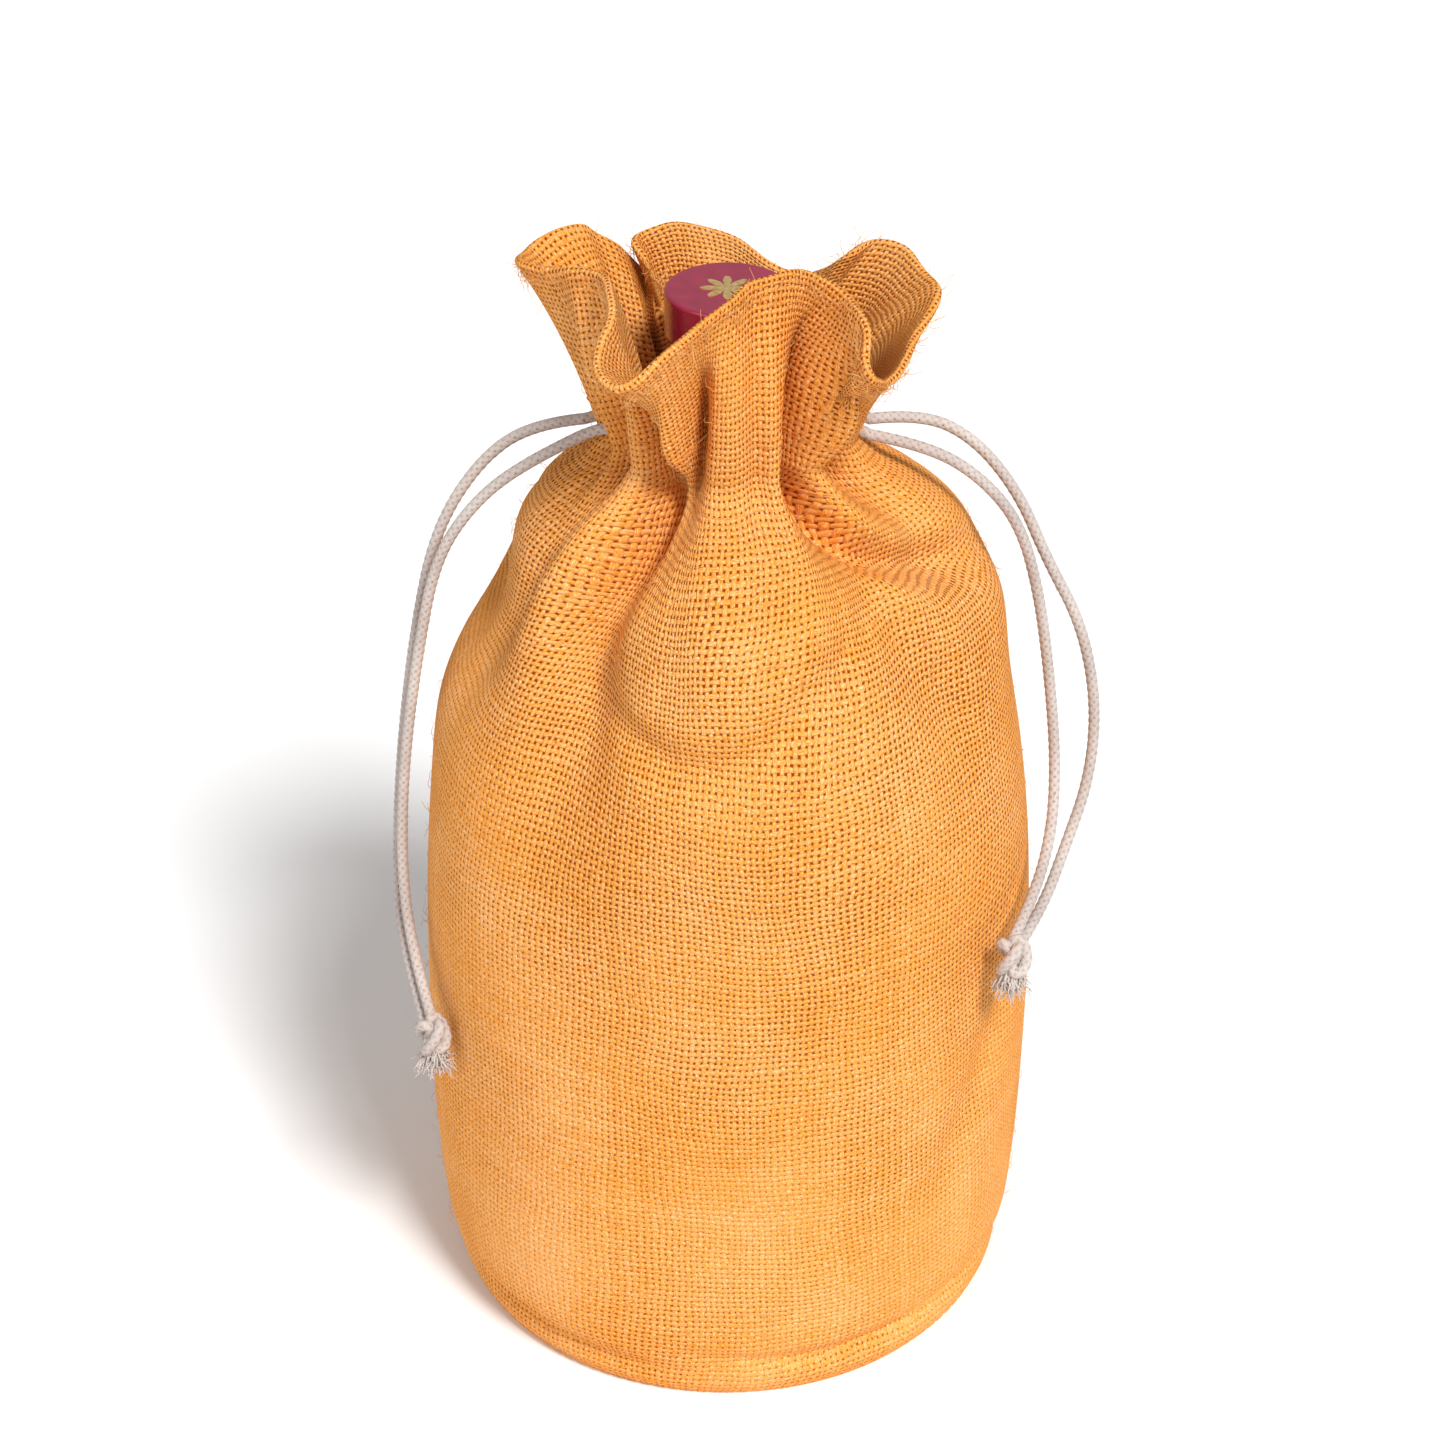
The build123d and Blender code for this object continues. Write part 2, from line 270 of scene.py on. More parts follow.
    # Painted shade: where the weave is low, in the gaps and down the sides of the yarns, the colour goes to a
    # dark brown that stands for the shadowed cloth behind the gaps.
    clear_of_painted_gap_shade = f.span(height, 0.16, 0.60)
    shade = f.mix(clear_of_painted_gap_shade, (0.30, 0.044, 0.001, 1.0), colour)
    f.bump(f.math("ADD", height, f.math("MULTIPLY", fibre, 0.30)), 0.0008, 0.9)
    return f.set(Base_Color=shade, Roughness=0.95, Specular_IOR_Level=0.08)


def hessian_fibre():
    """Loose fibres standing off the cloth."""
    f = Finish("hessian_fibre")
    body = f.add("ShaderNodeTexCoord").outputs["Object"]
    colour = f.ramp(f.noise(body, 300.0, 2.0), [(0.3, (0.72, 0.30, 0.07)), (0.7, (0.92, 0.54, 0.20))])
    return f.set(Base_Color=colour, Roughness=0.8, Specular_IOR_Level=0.2)


def sewing_thread():
    """Twisted thread dyed to match the cloth."""
    f = Finish("sewing_thread")
    body = f.add("ShaderNodeTexCoord").outputs["Object"]
    colour = f.ramp(f.noise(body, 900.0, 2.0), [(0.3, (0.70, 0.250, 0.045)), (0.7, (0.86, 0.390, 0.100))])
    return f.set(Base_Color=colour, Roughness=0.7, Specular_IOR_Level=0.2)


def cotton():
    """Natural cotton: pale grey with a warm cast, soiled a little, with fine fibres, and painted shade in the
    braid's valleys.
    """
    f = Finish("cotton")
    uv = f.add("ShaderNodeUVMap", uv_map="cloth_metres").outputs[0]
    body = f.add("ShaderNodeTexCoord").outputs["Object"]
    parts = f.add("ShaderNodeSeparateXYZ", {0: uv}).outputs
    # Painted shade: where the braid's relief, kept in the first UV channel, is low, the colour goes to a dark
    # brown-grey.
    clear_of_painted_braid_shade = f.span(parts[0], 0.15, 0.80)
    fibre = f.noise(body, 2400.0, 3.0, 0.6)
    soil = f.noise(body, 45.0, 2.0)
    tone = f.math("ADD", f.math("MULTIPLY", fibre, 0.5), f.math("MULTIPLY", soil, 0.45))
    colour = f.ramp(tone, [
        (0.25, (0.36, 0.290, 0.265)), (0.48, (0.55, 0.480, 0.440)), (0.75, (0.72, 0.660, 0.610))])
    shade = f.mix(clear_of_painted_braid_shade, (0.21, 0.150, 0.130, 1.0), colour)
    f.bump(fibre, 0.00018, 0.8)
    return f.set(Base_Color=shade, Roughness=0.92, Specular_IOR_Level=0.15)


def capsule_lacquer():
    """Glossy burgundy lacquer with faint rubbing and crinkles."""
    f = Finish("capsule_lacquer")
    body = f.add("ShaderNodeTexCoord").outputs["Object"]
    mottle = f.noise(body, 160.0, 3.0)
    colour = f.ramp(mottle, [(0.3, (0.240, 0.006, 0.034)), (0.7, (0.310, 0.012, 0.050))])
    f.bump(f.noise(body, 420.0, 2.0), 0.00006, 0.5)
    rough = f.span(mottle, 0.3, 0.7, 0.16, 0.30)
    return f.set(
        Base_Color=colour, Roughness=rough, Coat_Weight=0.45, Coat_Roughness=0.06, Specular_IOR_Level=0.45)


def gold_foil():
    """Rubbed gold foil of the capsule's ornament."""
    f = Finish("gold_foil")
    body = f.add("ShaderNodeTexCoord").outputs["Object"]
    wear = f.noise(body, 900.0, 3.0)
    colour = f.ramp(wear, [(0.3, (0.62, 0.40, 0.14)), (0.7, (0.86, 0.63, 0.28))])
    f.bump(wear, 0.00004, 0.6)
    return f.set(Base_Color=colour, Metallic=0.7, Roughness=f.span(wear, 0.3, 0.7, 0.28, 0.5))


def bottle_green():
    """Dark green glass with faint ripples."""
    f = Finish("bottle_green")
    body = f.add("ShaderNodeTexCoord").outputs["Object"]
    ripple = f.noise(body, 45.0, 2.0)
    colour = f.ramp(ripple, [(0.3, (0.030, 0.075, 0.030)), (0.7, (0.050, 0.110, 0.045))])
    f.bump(ripple, 0.0002, 0.3)
    return f.set(Base_Color=colour, Roughness=0.06, Transmission_Weight=0.85, IOR=1.5)


def red_wine():
    """Dark red wine."""
    f = Finish("red_wine")
    body = f.add("ShaderNodeTexCoord").outputs["Object"]
    colour = f.ramp(f.noise(body, 18.0, 2.0), [(0.3, (0.060, 0.002, 0.010)), (0.7, (0.095, 0.004, 0.016))])
    return f.set(Base_Color=colour, Roughness=0.05, Transmission_Weight=0.3, IOR=1.34)


def cork_bark():
    """Cork: tan grain with dark pits."""
    f = Finish("cork_bark")
    body = f.add("ShaderNodeTexCoord").outputs["Object"]
    grain = f.noise(body, 420.0, 4.0, 0.6)
    pits = f.add("ShaderNodeTexVoronoi", {"Vector": body, "Scale": 650.0}).outputs["Distance"]
    colour = f.ramp(grain, [(0.3, (0.36, 0.200, 0.090)), (0.7, (0.58, 0.370, 0.190))])
    shade = f.mix(f.span(pits, 0.10, 0.30), (0.13, 0.060, 0.025, 1.0), colour)
    f.bump(pits, 0.0003, 0.6)
    return f.set(Base_Color=shade, Roughness=0.85)


def label_paper():
    """Laid cream paper with fine ribs."""
    f = Finish("label_paper")
    body = f.add("ShaderNodeTexCoord").outputs["Object"]
    parts = f.add("ShaderNodeSeparateXYZ", {0: body}).outputs
    rib = f.math("SINE", f.math("MULTIPLY", parts[2], 7000.0))
    fleck = f.noise(body, 500.0, 3.0)
    colour = f.ramp(fleck, [(0.3, (0.72, 0.660, 0.520)), (0.7, (0.83, 0.780, 0.650))])
    f.bump(f.math("MULTIPLY_ADD", rib, 0.4, fleck), 0.00005, 0.6)
    return f.set(Base_Color=colour, Roughness=0.75)


JUTE = jute()
FIBRE = hessian_fibre()
THREAD = sewing_thread()
COTTON = cotton()
PAINTS = {
    "capsule": capsule_lacquer(), "capsule_ornament": gold_foil(), "bottle_glass": bottle_green(),
    "wine": red_wine(), "cork": cork_bark(), "bottle_label": label_paper(),
}


# ---------------------------------------------------------------- meshes
class Heap:
    """Several grids and tubes gathered into one mesh."""

    def __init__(self):
        self.points, self.faces, self.corners, self.count = [], [], [], 0

    def grid(self, points, uv, around=False):
        """Adds rows x columns points; around joins the last column to the first, and uv has one more."""
        rows, columns = points.shape[:2]
        index = self.count + np.arange(rows * columns).reshape(rows, columns)
        if around:
            index = np.concatenate([index, index[:, :1]], axis=1)
        self.points.append(points.reshape(-1, 3))
        faces = np.stack([index[:-1, :-1], index[:-1, 1:], index[1:, 1:], index[1:, :-1]], axis=-1)
        self.faces.append(faces.reshape(-1, 4))
        corners = np.stack([uv[:-1, :-1], uv[:-1, 1:], uv[1:, 1:], uv[1:, :-1]], axis=2)
        self.corners.append(corners.reshape(-1, 2))
        self.count += rows * columns

    def tube(self, line, radius, sides=12, braided=False):
        """Adds a round tube along a line, its ends rounded off; radius is one number or one per point."""
        radius = np.broadcast_to(radius, len(line)).astype(float)
        side, up = frames_along(line)
        along = distance_along(line)
        turn = np.arange(sides + 1) / sides
        relief = braid(turn[None, :], along[:, None]) if braided else np.ones((len(line), sides + 1))
        reach = radius[:, None] * (0.80 + 0.24 * relief if braided else relief)
        angle = 2 * math.pi * turn
        across, upward = np.cos(angle)[None, :, None], np.sin(angle)[None, :, None]
        spoke = across * side[:, None, :] + upward * up[:, None, :]
        rows = line[:, None, :] + reach[:, :, None] * spoke
        first = line[0] - rows[0].mean(axis=0) + rows[0]
        start_way = (line[0] - line[1]) / np.linalg.norm(line[0] - line[1])
        end_way = (line[-1] - line[-2]) / np.linalg.norm(line[-1] - line[-2])
        nose = [
            line[0] + (first - line[0]) * share + start_way * radius[0] * out
            for share, out in ((0.02, 0.5), (0.7, 0.3))]
        tail = [
            line[-1] + (rows[-1] - line[-1]) * share + end_way * radius[-1] * out
            for share, out in ((0.7, 0.3), (0.02, 0.5))]
        rows = np.concatenate([np.array(nose), rows, np.array(tail)])
        # The braid's relief goes into the first UV channel; the cotton finish paints shade in the braid's
        # valleys from it.
        shade = np.concatenate([relief[:1], relief[:1], relief, relief[-1:], relief[-1:]])
        reached = np.concatenate([along[:1], along[:1], along, along[-1:], along[-1:]])
        self.grid(rows[:, :-1], np.stack(np.broadcast_arrays(shade, reached[:, None]), axis=2), around=True)

    def piece(self, name, material):
        """The one mesh, with its material."""
        mesh = bpy.data.meshes.new(name)
        mesh.from_pydata(np.concatenate(self.points).tolist(), [], np.concatenate(self.faces).tolist())
        layer = mesh.uv_layers.new(name="cloth_metres")
        layer.data.foreach_set("uv", np.concatenate(self.corners).astype(np.float32).ravel())
        mesh.polygons.foreach_set("use_smooth", [True] * len(mesh.polygons))
        mesh.materials.append(material)
        mesh.update()
        piece = bpy.data.objects.new(name, mesh)
        bpy.context.scene.collection.objects.link(piece)
        return piece


BRAID_THREADS = 4           # each way round the cord
BRAID_STEP = 0.0023         # length of one crossing along the cord


def braid(turn, along):
    """Relief of a round braid from 0 to 1; turn goes from 0 to 1 around the cord."""
    one = BRAID_THREADS * turn + along / BRAID_STEP
    other = BRAID_THREADS * turn - along / BRAID_STEP
    odd = np.where((np.floor(one) + np.floor(other)) % 2 == 0, 1.0, -1.0)
    profile_one = np.sqrt(1.0 - (2 * (one % 1.0) - 1.0) ** 2)
    profile_other = np.sqrt(1.0 - (2 * (other % 1.0) - 1.0) ** 2)
    top = profile_one * (0.78 + 0.22 * odd * np.sin(math.pi * (other % 1.0)))
    return np.maximum(top, profile_other * (0.78 - 0.22 * odd * np.sin(math.pi * (one % 1.0))))


def curve_through(points, count, closed=False):
    """Catmull-Rom curve through points, as evenly spaced as its length allows."""
    points = np.array(points, float)
    if closed:
        ring = np.concatenate([points[-1:], points, points[:2]])
    else:
        ring = np.concatenate([2 * points[:1] - points[1:2], points, 2 * points[-1:] - points[-2:-1]])
    fine = []
    for a, b, c, d in zip(ring, ring[1:], ring[2:], ring[3:]):
        t = np.linspace(0.0, 1.0, 40, endpoint=False)[:, None]
        square, cube = 2 * a - 5 * b + 4 * c - d, 3 * b - a - 3 * c + d
        fine.append(0.5 * (2 * b + (c - a) * t + square * t ** 2 + cube * t ** 3))
    fine = np.concatenate(fine + [ring[-2:-1]])
    along = distance_along(fine)
    places = np.linspace(0.0, along[-1], count + 1)
    axes = range(points.shape[1])
    even_points = np.stack([np.interp(places, along, fine[:, axis]) for axis in axes], axis=1)
    return even_points, along[-1]


# ---------------------------------------------------------------- cloth shape
GIRTH = 0.525               # cloth around the bag, both panels together
HEADER = 0.050              # from the casing to the rim
HEM = 0.056                 # turned inside, from the rim to below the casing
HEM_FOLD = 0.0011           # radius of the rounded fold at the rim
GATHER_REACH = 0.085        # how far below the neck the pleats spread out evenly
BASE_RADIUS = 0.0752        # of the base disc

# Side of the filled bag from the base to the neck: radius and height.
SIDE = [
    (0.0750, 0.0000), (0.0789, 0.0070), (0.0814, 0.0200), (0.0832, 0.0450), (0.0837, 0.0750), (0.0833, 0.1100),
    (0.0815, 0.1480), (0.0776, 0.1800), (0.0718, 0.2050), (0.0646, 0.2250), (0.0566, 0.2395), (0.0465, 0.2500),
    (0.0382, 0.2560), (NECK_RADIUS - 0.001, NECK_Z),
]

# Folds that run down from the gathered neck: bearing at the neck and at their foot (degrees from the
# front, towards +X), depth and half width at the neck and how far down they reach (mm), and how soon
# they fade on the way.
FOLDS = [
    (-58, -72, 12.0, 3.4, 62, 1.0), (-31, -33, 13.0, 2.8, 40, 1.0), (-15, -24, 12.0, 2.4, 40, 1.0),
    (14, 9, 4.5, 3.6, 40, 1.0), (32, 35, 13.0, 2.6, 42, 1.0), (58, 74, 12.0, 3.4, 54, 1.0),
    (113, 118, 12.5, 4.2, 104, 0.7), (137, 132, 12.0, 4.0, 62, 1.0), (161, 167, 12.5, 4.2, 108, 0.7),
    (187, 182, 12.0, 4.0, 68, 1.0), (212, 219, 12.5, 4.2, 102, 0.7), (236, 232, 12.0, 4.0, 64, 1.0),
    (255, 252, 12.0, 3.2, 84, 0.8), (284, 292, 7.0, 3.0, 60, 1.0),
]

# Creases of the slack shoulder: each runs through points of bearing, height, depth and half width
# (degrees, then millimetres).
CREASES = [
    [(-27, 260, 8, 4.0), (-30, 253, 20, 5.5), (-36, 243, 26, 8.5), (-39, 229, 22, 12.0), (-35, 209, 14, 13.0),
     (-37, 184, 4.5, 15.0), (-42, 158, 0, 15.0)],
    [(32, 260, 7, 3.0), (37, 254, 17, 4.2), (46, 246, 18, 5.5), (60, 239, 12, 6.0), (75, 233, 8, 6.2),
     (94, 225, 1, 8.0)],
    [(-40, 230, 4, 6.5), (-26, 212, 5.2, 6.5), (-10, 203, 4.2, 6.5), (4, 206, 3.0, 6.5), (22, 222, 3.6, 6.5),
     (45, 243, 3, 5.0)],
    [(42, 241, 3, 6.0), (46, 222, 5, 8.0), (52, 202, 3.5, 10.0), (58, 180, 0, 12.0)],
    [(-60, 242, 4, 5.0), (-68, 226, 6, 7.0), (-74, 205, 3, 9.0), (-78, 185, 0, 10.0)],
    [(130, 236, 3, 5.0), (150, 222, 4, 6.0), (175, 216, 3, 7.0), (200, 222, 1, 7.0)],
    [(225, 238, 3, 5.0), (240, 226, 4, 6.0), (256, 214, 4, 8.0), (270, 200, 1, 9.0)],
    [(70, 120, 0, 7.0), (60, 95, 2.0, 8.0), (48, 70, 1.4, 9.0), (40, 50, 0, 9.0)],
    [(-20, 22, 0, 3.0), (8, 15, 1.6, 3.0), (34, 13, 2.2, 2.6), (62, 15, 1.6, 3.0), (88, 20, 0, 3.0)],
    [(-78, 18, 0, 3.0), (-54, 14, 1.6, 2.8), (-28, 11, 1.2, 2.8), (-6, 10, 0, 3.0)],
]

# Folds of the open header: bearing, how far they stand out, half width (mm), and where they lie, as a
# share of the way from the neck to the rim: middle and half height.
HEADER_FOLDS = [
    (-24, 8.0, 2.8, 0.20, 0.34), (-36, -5.0, 2.4, 0.34, 0.34), (-13, -7.0, 2.0, 0.36, 0.38),
    (2, 3.0, 4.6, 0.30, 0.50), (18, 3.0, 2.8, 0.42, 0.50), (33, -10.0, 2.2, 0.40, 0.42),
    (45, 8.5, 3.6, 0.34, 0.36), (66, -3.0, 3.6, 0.50, 0.50), (110, 2.5, 4.5, 0.55, 0.50),
    (150, -3.0, 4.0, 0.50, 0.50), (205, 2.5, 4.0, 0.55, 0.50), (248, -2.5, 3.5, 0.50, 0.50),
    (292, 3.0, 4.5, 0.45, 0.45), (318, -2.5, 3.0, 0.55, 0.45),
]

# Broad dents and swells of the filled cloth: bearing, height and outward reach, with half widths in
# degrees and in metres up the side.
SWELLS = [
    (274, 0.216, -0.0110, 30, 0.024), (268, 0.186, 0.0010, 30, 0.016), (84, 0.224, 0.0055, 30, 0.022),
    (2, 0.236, 0.0040, 14, 0.020), (-50, 0.240, 0.0030, 12, 0.016), (62, 0.246, 0.0035, 20, 0.008),
    (-28, 0.152, -0.0022, 16, 0.030), (20, 0.185, 0.0026, 22, 0.032), (52, 0.125, -0.0018, 14, 0.045),
    (-55, 0.070, -0.0016, 16, 0.035), (8, 0.060, -0.0014, 18, 0.022), (38, 0.014, -0.0026, 34, 0.0050),
    (-40, 0.011, -0.0020, 30, 0.0045), (120, 0.013, -0.0022, 40, 0.0050), (190, 0.012, -0.0022, 44, 0.0050),
    (150, 0.150, 0.0018, 30, 0.040), (215, 0.110, -0.0018, 24, 0.045), (-75, 0.130, 0.0010, 14, 0.030),
]

# Room left for the bottle at the top of its travel, and for the cords in the casing: height and least
# radius of the cloth.
ROOM = np.array([
    (0.180, 0.0400), (0.212, 0.0395), (0.222, 0.0360), (0.232, 0.0290), (0.241, 0.0220), (0.249, 0.0190),
    (0.254, 0.0200), (0.257, 0.0224), (0.268, 0.0224), (0.272, 0.0195), (0.340, 0.0185),
])
ROOM_EASE = 0.0015          # how gently a fold meets that radius

# Rim of the open header, from the front towards +X, as a lobed ring.
RIM = [
    (0.001, -0.026, 0.3095), (0.007, -0.019, 0.3115), (0.013, -0.0135, 0.311), (0.021, -0.013, 0.310),
    (0.028, -0.020, 0.309), (0.032, -0.031, 0.307), (0.032, -0.041, 0.302), (0.035, -0.045, 0.297),
    (0.040, -0.036, 0.292), (0.044, -0.025, 0.292), (0.048, -0.013, 0.295), (0.052, -0.002, 0.298),
    (0.051, 0.009, 0.300), (0.045, 0.018, 0.303), (0.037, 0.022, 0.304), (0.030, 0.019, 0.302),
    (0.026, 0.022, 0.295), (0.021, 0.030, 0.290), (0.014, 0.034, 0.290), (0.008, 0.036, 0.293),
    (0.001, 0.038, 0.297), (-0.007, 0.039, 0.299), (-0.015, 0.040, 0.300), (-0.022, 0.037, 0.299),
    (-0.024, 0.031, 0.298), (-0.020, 0.026, 0.294), (-0.017, 0.029, 0.290), (-0.021, 0.034, 0.288),
    (-0.027, 0.033, 0.293), (-0.031, 0.030, 0.300), (-0.037, 0.032, 0.303), (-0.045, 0.030, 0.302),
    (-0.052, 0.022, 0.300), (-0.054, 0.014, 0.301), (-0.048, 0.005, 0.304), (-0.041, -0.001, 0.306),
    (-0.034, -0.008, 0.308), (-0.030, -0.016, 0.309), (-0.029, -0.026, 0.307), (-0.031, -0.035, 0.304),
    (-0.032, -0.043, 0.299), (-0.028, -0.049, 0.297), (-0.022, -0.050, 0.299), (-0.014, -0.044, 0.303),
    (-0.006, -0.035, 0.307),
]


def angle_between(bearing, centre):
    """Signed angle from a centre to a bearing, the short way round, in radians."""
    return (bearing - centre + math.pi) % (2 * math.pi) - math.pi


def around_axis(radius, bearing):
    """X and Y at a distance from the bag's axis; bearing 0 is the front, and it grows towards +X."""
    return radius * np.sin(bearing), -radius * np.cos(bearing)


def fall(share):
    """1 at 0, easing to 0 at 1 and beyond."""
    share = np.clip(share, 0.0, 1.0)
    return (1.0 - share) ** 2 * (1.0 + 2.0 * share)


def fold_depth(bearing, radius, below):
    """How far the folds press in, at a bearing in radians, where the ring has this radius."""
    depth = np.zeros(np.broadcast(bearing, radius, below).shape)
    for top, foot, deep, wide, reach, fading in FOLDS:
        share = np.clip(below / (reach * 0.001), 0.0, 1.0)
        centre = np.radians(top + (foot - top) * share)
        gap = angle_between(bearing, centre)
        width = wide * 0.001 * (1.0 + 2.4 * share)
        depth = depth + deep * 0.001 * fall(share) ** fading * np.exp(-np.abs(gap * radius / width) ** 1.7)
    return depth


def swelling(bearing, height):
    """How far out the broad swells push the cloth."""
    total = 0.0
    for centre, middle, reach, wide, tall in SWELLS:
        gap = angle_between(bearing, math.radians(centre))
        total = total + reach * np.exp(-(gap / math.radians(wide)) ** 2 - ((height - middle) / tall) ** 2)
    return total


def crease_depth(bearing, radius, up, side_heights, side_up):
    """How far the creases press in, along one ring of the bag."""
    deepest = np.zeros(len(bearing))
    for line in CREASES:
        path, _ = curve_through(line, 60)
        places = np.interp(path[:, 1] * 0.001, side_heights, side_up)
        sideways = angle_between(bearing[:, None], np.radians(path[None, :, 0]))
        off = np.hypot(sideways * radius, up - places[None, :])
        press = path[None, :, 2] * 0.001 * np.exp(-(off / (path[None, :, 3] * 0.001)) ** 2)
        deepest = np.hypot(deepest, np.maximum(press, 0.0).max(axis=1))
    return deepest


def wander(around, along, seed, waves, size):
    """Smooth unevenness that closes on itself around the bag."""
    rng = np.random.default_rng(seed)
    total = 0.0
    for _ in range(waves):
        turns = rng.integers(1, 9)
        rise = rng.uniform(-55.0, 55.0)
        strength = rng.uniform(0.3, 1.0)
        total = total + strength * np.sin(2 * math.pi * turns * around + rise * along + rng.uniform(0, 6.28))
    return size * total / math.sqrt(waves)


def neck_ring(columns):
    """The pleated ring of the casing, its points shared out evenly along the cloth."""
    bearing = np.linspace(0.0, 2 * math.pi, 4801)
    radius = NECK_RADIUS - fold_depth(bearing, NECK_RADIUS, 0.0)
    ring = np.stack(around_axis(radius, bearing), axis=1)
    along = distance_along(ring)
    return np.interp(np.linspace(0.0, along[-1], columns + 1), along, bearing)


def bag_surface(columns, step):
    """Outer face of the cloth as rows x columns points, with how far up the cloth each row is."""
    around = np.linspace(0.0, 1.0, columns + 1)
    side, side_length = curve_through(SIDE, int(0.29 / step))
    heights = np.linspace(0.0, side_length, len(side))
    neck_bearing = neck_ring(columns)
    even_bearing = 2 * math.pi * around
    rows = []
    for (radius, height), up in zip(side, heights):
        below = side_length - up
        gathered = fall(below / GATHER_REACH)
        bearing = even_bearing + (neck_bearing - even_bearing) * gathered
        press = fold_depth(bearing, radius, below)
        press = press + wander(around, up, 3, 14, 0.0007) * fall(abs(up - 0.15) / 0.16)
        press = press - swelling(bearing, height)
        press = press + crease_depth(bearing, radius, up, side[:, 1], heights)
        slope = np.clip((height - 0.20) / 0.06, 0.0, 1.0)
        tilt = slope * (1.0 - fall(below / 0.03))
        ring_radius = radius - press * (1.0 - 0.35 * tilt)
        drop = 0.55 * press * tilt
        rows.append(np.stack([*around_axis(ring_radius, bearing), height - drop], axis=1))
    neck = rows[-1]
    rim, _ = curve_through(RIM, columns, closed=True)
    rim = rim + np.stack([wander(3 * around, 0.0, seed, 9, 0.0006) for seed in (21, 22, 23)], axis=1)
    header_rows = int(HEADER / step)
    for k in range(1, header_rows + 1):
        t = k / header_rows
        spread = 0.75 * t + 0.25 * t * t
        flat = neck[:, :2] + (rim[:, :2] - neck[:, :2]) * spread
        out = np.stack(around_axis(1.0, neck_bearing), axis=1)
        for bearing, stand, wide, middle, half in HEADER_FOLDS:
            gap = angle_between(neck_bearing, math.radians(bearing))
            share = np.exp(-(gap * NECK_RADIUS / (wide * 0.001)) ** 2 - ((t - middle) / half) ** 2)
            share = share * (1 - (1 - t) ** 8)
            flat = flat + out * (stand * 0.001 * share)[:, None]
        lift = neck[:, 2:] + (rim[:, 2:] - neck[:, 2:]) * (1.18 * t - 0.18 * t * t)
        rows.append(np.concatenate([flat, lift], axis=1))
    up = np.concatenate([heights, side_length + HEADER * np.arange(1, header_rows + 1) / header_rows])
    return np.array(rows), up


def clear_of_bottle(points):
    """The cloth with every fold that would press into the bottle eased outwards."""
    radius = np.linalg.norm(points[:, :, :2], axis=2)
    room = np.interp(points[:, :, 2], ROOM[:, 0], ROOM[:, 1], left=0.0)
    eased_radius = room + ROOM_EASE * np.logaddexp(0.0, (radius - room) / ROOM_EASE)
    held = np.where(room > 0.0, eased_radius, radius)
    wider = (held / np.maximum(radius, 1e-6))[:, :, None]
    return np.concatenate([points[:, :, :2] * wider, points[:, :, 2:]], axis=2)


def between(values, closed):
    """Twice as many rows, the new ones halfway along smooth curves through the old ones."""
    if closed:
        ring = values[:-1]
        before, after, later = (np.roll(ring, shift, axis=0) for shift in (1, -1, -2))
        middle = (9 * (ring + after) - before - later) / 16
        both = np.stack([ring, middle], axis=1).reshape(-1, *values.shape[1:])
        return np.concatenate([both, both[:1]])
    wide = np.concatenate([2 * values[:1] - values[1:2], values, 2 * values[-1:] - values[-2:-1]])
    middle = (9 * (wide[1:-2] + wide[2:-1]) - wide[:-3] - wide[3:]) / 16
    both = np.stack([values[:-1], middle], axis=1).reshape(-1, *values.shape[1:])
    return np.concatenate([both, values[-1:]])


def outward(points):
    """Unit normals of rows x columns points, facing out of the bag."""
    along = np.gradient(points, axis=0)
    across = np.gradient(points, axis=1)
    across[:, 0] = across[:, -1] = points[:, 1] - points[:, -2]
    normals = np.cross(across, along)
    return normals / np.maximum(np.linalg.norm(normals, axis=2, keepdims=True), 1e-9)


def eased(normals, passes):
    """Normals evened out with their neighbours."""
    for _ in range(passes):
        ring = normals[:, :-1]
        ring = ring + np.roll(ring, 1, axis=1) + np.roll(ring, -1, axis=1)
        tall = ring.copy()
        tall[1:] += ring[:-1]
        tall[:-1] += ring[1:]
        tall /= np.linalg.norm(tall, axis=2, keepdims=True)
        normals = np.concatenate([tall, tall[:, :1]], axis=1)
    return normals


def with_hem(points, up, step):
    """Adds the rounded fold at the rim and the layer turned inside below it."""
    normals = eased(outward(points), 6)
    fold = HEM_FOLD
    hem_rows = int(HEM / step)
    neck_up = up[-1] - HEADER
    top, top_normal = points[-1], normals[-1]
    rise = points[-1] - points[-3]
    rise /= np.linalg.norm(rise, axis=1, keepdims=True)
    rows, heights = [], []
    for angle in np.radians([25, 60, 90, 120, 155, 180]):
        rows.append(top - top_normal * fold * (1 - math.cos(angle)) + rise * fold * math.sin(angle))
        heights.append(up[-1] + fold * angle)
    for k in range(1, hem_rows + 1):
        room = 0.0022 * fall(abs(up[-1 - k] - neck_up) / 0.007)
        rows.append(points[-1 - k] - normals[-1 - k] * (2 * fold + room))
        heights.append(heights[5] + up[-1] - up[-1 - k])
    return np.concatenate([points, np.array(rows)]), np.concatenate([up, heights])


# ---------------------------------------------------------------- bag
STITCH = 0.0032             # length of one stitch
STITCH_GAP = 0.0011         # from one stitch to the next
THREAD_RADIUS = 0.00018
THREAD_STEP = 0.0004        # spacing of the points along a thread


def stitched(heap, line):
    """Adds a row of stitches along a line that lies on the cloth."""
    line, _ = even(line, THREAD_STEP)
    long = int(STITCH / THREAD_STEP)
    for start in range(0, len(line) - long, int((STITCH + STITCH_GAP) / THREAD_STEP)):
        heap.tube(line[start:start + long], THREAD_RADIUS, 5)


